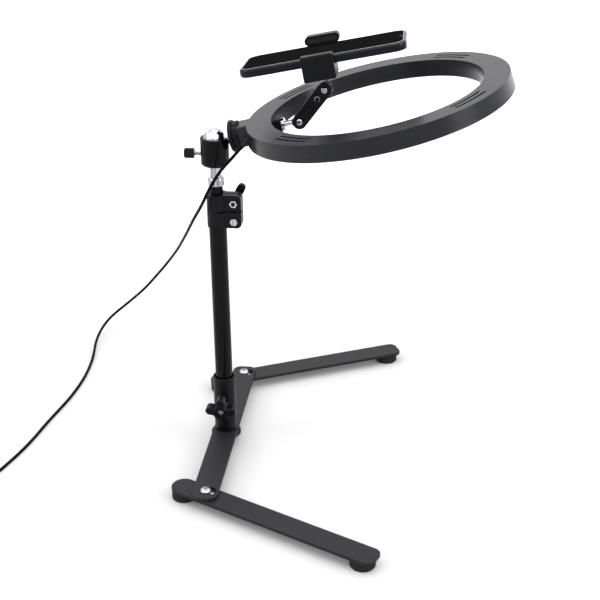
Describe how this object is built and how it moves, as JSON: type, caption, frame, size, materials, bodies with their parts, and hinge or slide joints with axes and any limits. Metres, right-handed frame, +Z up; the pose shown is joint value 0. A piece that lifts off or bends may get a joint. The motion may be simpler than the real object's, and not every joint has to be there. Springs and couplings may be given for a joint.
{
  "type": "ring light on desk stand",
  "caption": "Ring light on a ball head over a telescopic column, with a foldable plate-leg desk stand and a jointed arm whose clamp holds a phone; a cord leaves the ring.",
  "frame": {"origin": "foot of the column axis on the desk surface, at the middle of the centre foot", "axes": "+Z up along the column; the legs and the ring reach towards +X; the crossbar lies along Y"},
  "size_m": [0.5998, 0.4922, 0.4499],
  "materials": {
    "charcoal": "satin powder coat",
    "rubber": "matt",
    "zinc": "bright zinc plate",
    "satin_plastic": "satin",
    "gloss_black": "gloss lacquer",
    "chrome": "polished",
    "shell_plastic": "fine texture",
    "diffuser_white": "milky",
    "board_white": "satin",
    "phone_case": "gloss",
    "screen_glass": "gloss, dark",
    "cord_jacket": "satin",
    "nylon": "matt",
    "brushed_nickel": "nickel plate"
  },
  "bodies": {
    "stand": {"crossbar": "charcoal", "centre_foot": "rubber", "socket_sleeve": "satin_plastic", "socket_bolt": "zinc", "pivot_bolts": "zinc", "pivot_nuts": "zinc", "pivot_washers": "nylon", "cord_tube": "cord_jacket", "cord_tail": "cord_jacket", "cord_coil": "cord_jacket", "plug_body": "satin_plastic", "plug_shell": "brushed_nickel"},
    "front_leg": {"front_leg": "charcoal", "front_tip_foot": "rubber", "front_tail_foot": "rubber", "front_foot_screws": "zinc"},
    "rear_leg": {"rear_leg": "charcoal", "rear_tip_foot": "rubber", "rear_tail_foot": "rubber", "rear_foot_screws": "zinc"},
    "star_knob": {"star_knob": "satin_plastic", "star_screw": "zinc"},
    "column": {"lower_tube": "gloss_black", "collar": "satin_plastic", "collar_bolt": "chrome", "collar_nuts": "chrome"},
    "wing_screw": {"wing_screw": "satin_plastic"},
    "mast": {"inner_tube": "gloss_black", "spigot": "chrome"},
    "ball_housing": {"ball_housing": "gloss_black", "pressure_pad": "nylon"},
    "thumb_screw": {"thumb_screw": "zinc", "thumb_knob": "satin_plastic"},
    "ball": {"ball_stud": "chrome", "platform_disc": "satin_plastic"},
    "lock_ring": {"lock_ring": "satin_plastic"},
    "ring": {"ring_bracket": "shell_plastic", "back_shell": "shell_plastic", "front_frame": "shell_plastic", "led_board": "board_white", "diffuser": "diffuser_white", "arm_seat": "satin_plastic", "cord_gland": "rubber"},
    "arm_stud": {"arm_stud": "chrome", "stud_lock": "chrome"},
    "arm": {"arm_front_plate": "satin_plastic", "arm_rear_plate": "satin_plastic", "arm_pins": "chrome", "arm_nut": "chrome"},
    "arm_knob": {"arm_knob": "satin_plastic"},
    "clamp_neck": {"clamp_stud": "chrome"},
    "clamp": {"clamp_body": "satin_plastic", "front_pad": "rubber"},
    "jaw": {"jaw": "satin_plastic", "guide_rods": "chrome"},
    "phone": {"phone_body": "phone_case", "phone_screen": "screen_glass"},
    "phone_button": {"phone_button": "phone_case"}
  },
  "joints": [
    {"name": "front_leg_fold", "type": "hinge", "parent": "stand", "child": "front_leg", "pos_m": [0, -0.1232, 0.012], "axis": [0, 0, 1], "range_deg": [-64, 56]},
    {"name": "rear_leg_fold", "type": "hinge", "parent": "stand", "child": "rear_leg", "pos_m": [0, 0.1232, 0.012], "axis": [0, 0, 1], "range_deg": [-56, 64]},
    {"name": "star_knob_turn", "type": "hinge", "parent": "stand", "child": "star_knob", "pos_m": [0, -0.02, 0.0514], "axis": [0, -1, 0], "continuous": true},
    {"name": "column_turn", "type": "hinge", "parent": "stand", "child": "column", "pos_m": [0, 0, 0.08], "axis": [0, 0, 1], "range_deg": [-90, 90], "deforming": ["cord_tube"]},
    {"name": "wing_screw_turn", "type": "hinge", "parent": "column", "child": "wing_screw", "pos_m": [0.018, 0.008, 0.2835], "axis": [0, -1, 0], "continuous": true},
    {"name": "mast_height", "type": "slide", "parent": "column", "child": "mast", "axis": [0, 0, 1], "range_m": [0, 0.135], "deforming": ["cord_tube"]},
    {"name": "head_pan", "type": "hinge", "parent": "mast", "child": "ball_housing", "pos_m": [0, 0, 0.3476], "axis": [0, 0, 1], "range_deg": [-90, 90], "deforming": ["cord_tube"]},
    {"name": "thumb_screw_turn", "type": "hinge", "parent": "ball_housing", "child": "thumb_screw", "pos_m": [-0.02, 0, 0.333], "axis": [-1, 0, 0], "continuous": true},
    {"name": "head_tilt", "type": "hinge", "parent": "ball_housing", "child": "ball", "pos_m": [0, 0, 0.3476], "axis": [0, -1, 0], "range_deg": [-12, 112], "deforming": ["cord_tube"]},
    {"name": "lock_ring_turn", "type": "hinge", "parent": "ball", "child": "lock_ring", "pos_m": [0.02241, 0, 0.35277], "axis": [0.9744, 0, 0.225], "continuous": true},
    {"name": "head_roll", "type": "hinge", "parent": "ball", "child": "ring", "pos_m": [0.02728, 0, 0.3539], "axis": [0.9744, 0, 0.225], "range_deg": [-90, 90], "deforming": ["cord_tube"]},
    {"name": "arm_stud_turn", "type": "hinge", "parent": "ring", "child": "arm_stud", "pos_m": [0.07058, 0, 0.36595], "axis": [0.9744, 0, 0.225], "range_deg": [-10, 10]},
    {"name": "arm_lower_pivot", "type": "hinge", "parent": "arm_stud", "child": "arm", "pos_m": [0.0852, 0, 0.36932], "axis": [-0.0176, -0.9969, 0.0764], "range_deg": [-15, 10]},
    {"name": "arm_knob_turn", "type": "hinge", "parent": "arm", "child": "arm_knob", "pos_m": [0.10242, 0.00144, 0.39211], "axis": [0.0176, 0.9969, -0.0764], "continuous": true},
    {"name": "arm_upper_pivot", "type": "hinge", "parent": "arm", "child": "clamp_neck", "pos_m": [0.10911, 0.002, 0.40095], "axis": [-0.0176, -0.9969, 0.0764], "range_deg": [-30, 10]},
    {"name": "clamp_swivel", "type": "hinge", "parent": "clamp_neck", "child": "clamp", "pos_m": [0.10626, 0.00318, 0.41563], "axis": [-0.1901, 0.0784, 0.9786], "range_deg": [-90, 90]},
    {"name": "jaw_pull", "type": "slide", "parent": "clamp", "child": "jaw", "axis": [-0.0235, 0.9962, -0.0844], "range_m": [0, 0.022], "stiffness_N_per_m": 150, "springref_m": -0.02},
    {"name": "phone_button_press", "type": "slide", "parent": "phone", "child": "phone_button", "axis": [-0.0235, 0.9962, -0.0844], "range_m": [0, 0.0004], "stiffness_N_per_m": 400},
    {"name": "phone_slide", "type": "slide", "parent": "clamp", "child": "phone", "axis": [0.9815, 0.039, 0.1875], "range_m": [0, 0.08]}
  ]
}
